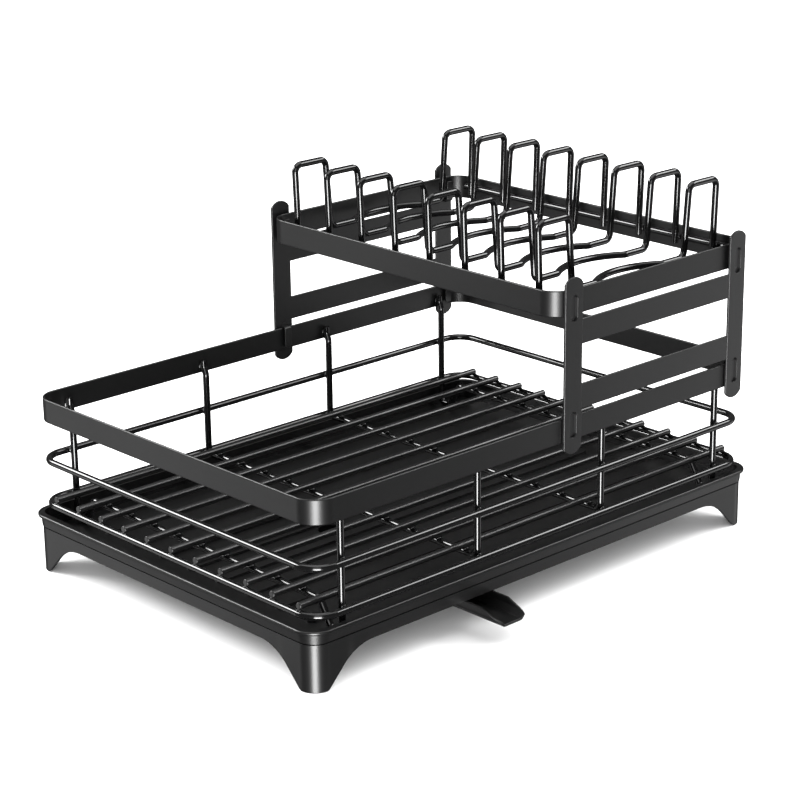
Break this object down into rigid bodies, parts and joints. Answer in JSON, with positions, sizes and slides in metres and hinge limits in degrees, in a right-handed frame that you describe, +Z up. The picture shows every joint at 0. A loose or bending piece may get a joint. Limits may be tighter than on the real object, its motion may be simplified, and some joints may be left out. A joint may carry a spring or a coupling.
{
  "type": "dish drying rack",
  "caption": "Two-tier dish drying rack: wire basket in a footed drip tray with a swivel drain spout, and a raised plate shelf on two hooked side frames.",
  "frame": {"origin": "on the table, under the middle of the whole outline with the spout pointing straight out", "axes": "+X along the long side towards the end that carries the dish shelf, +Y across the rack away from the spout's tip, +Z up"},
  "size_m": [0.437, 0.335, 0.2645],
  "materials": {
    "tray_plastic": "satin black moulding",
    "spout_plastic": "fine matt black moulding",
    "coated_sheet": "satin black powder coat",
    "coated_wire": "glossy black coat"
  },
  "bodies": {
    "tray": {"drip_tray": "tray_plastic"},
    "spout": {"drain_spout": "spout_plastic"},
    "basket": {"basket_top_band": "coated_sheet", "basket_middle_ring": "coated_wire", "basket_lower_ring": "coated_wire", "basket_post_wire_1": "coated_wire", "basket_post_wire_2": "coated_wire", "basket_post_wire_3": "coated_wire", "basket_post_wire_4": "coated_wire", "floor_rod_01": "coated_wire", "floor_rod_02": "coated_wire", "floor_rod_03": "coated_wire", "floor_rod_04": "coated_wire", "floor_rod_05": "coated_wire", "floor_rod_06": "coated_wire", "floor_rod_07": "coated_wire", "floor_rod_08": "coated_wire", "floor_rod_09": "coated_wire", "floor_rod_10": "coated_wire", "floor_rod_11": "coated_wire"},
    "frame_near": {"side_frame_near": "coated_sheet"},
    "frame_far": {"side_frame_far": "coated_sheet"},
    "shelf": {"shelf_band": "coated_sheet", "shelf_side_wire_left": "coated_wire", "shelf_side_wire_right": "coated_wire", "dish_wire_1": "coated_wire", "dish_wire_2": "coated_wire", "dish_wire_3": "coated_wire", "dish_wire_4": "coated_wire", "dish_wire_5": "coated_wire", "dish_wire_6": "coated_wire", "dish_wire_7": "coated_wire", "dish_wire_8": "coated_wire"}
  },
  "joints": [
    {"name": "spout_swivel", "type": "hinge", "parent": "tray", "child": "spout", "pos_m": [-0.065, 0.0135, 0.0215], "axis": [0, 0, 1], "continuous": true},
    {"name": "basket_lift", "type": "slide", "parent": "tray", "child": "basket", "axis": [0, 0, 1], "range_m": [0, 0.08]},
    {"name": "near_frame_lift", "type": "slide", "parent": "basket", "child": "frame_near", "axis": [0, 0, 1], "range_m": [0, 0.05]},
    {"name": "far_frame_lift", "type": "slide", "parent": "basket", "child": "frame_far", "axis": [0, 0, 1], "range_m": [0, 0.05]},
    {"name": "shelf_lift", "type": "slide", "parent": "frame_near", "child": "shelf", "axis": [0, 0, 1], "range_m": [0, 0.05]}
  ],
  "couplings": [
    {"joint": "far_frame_lift", "follows": "near_frame_lift", "ratio": 1}
  ]
}
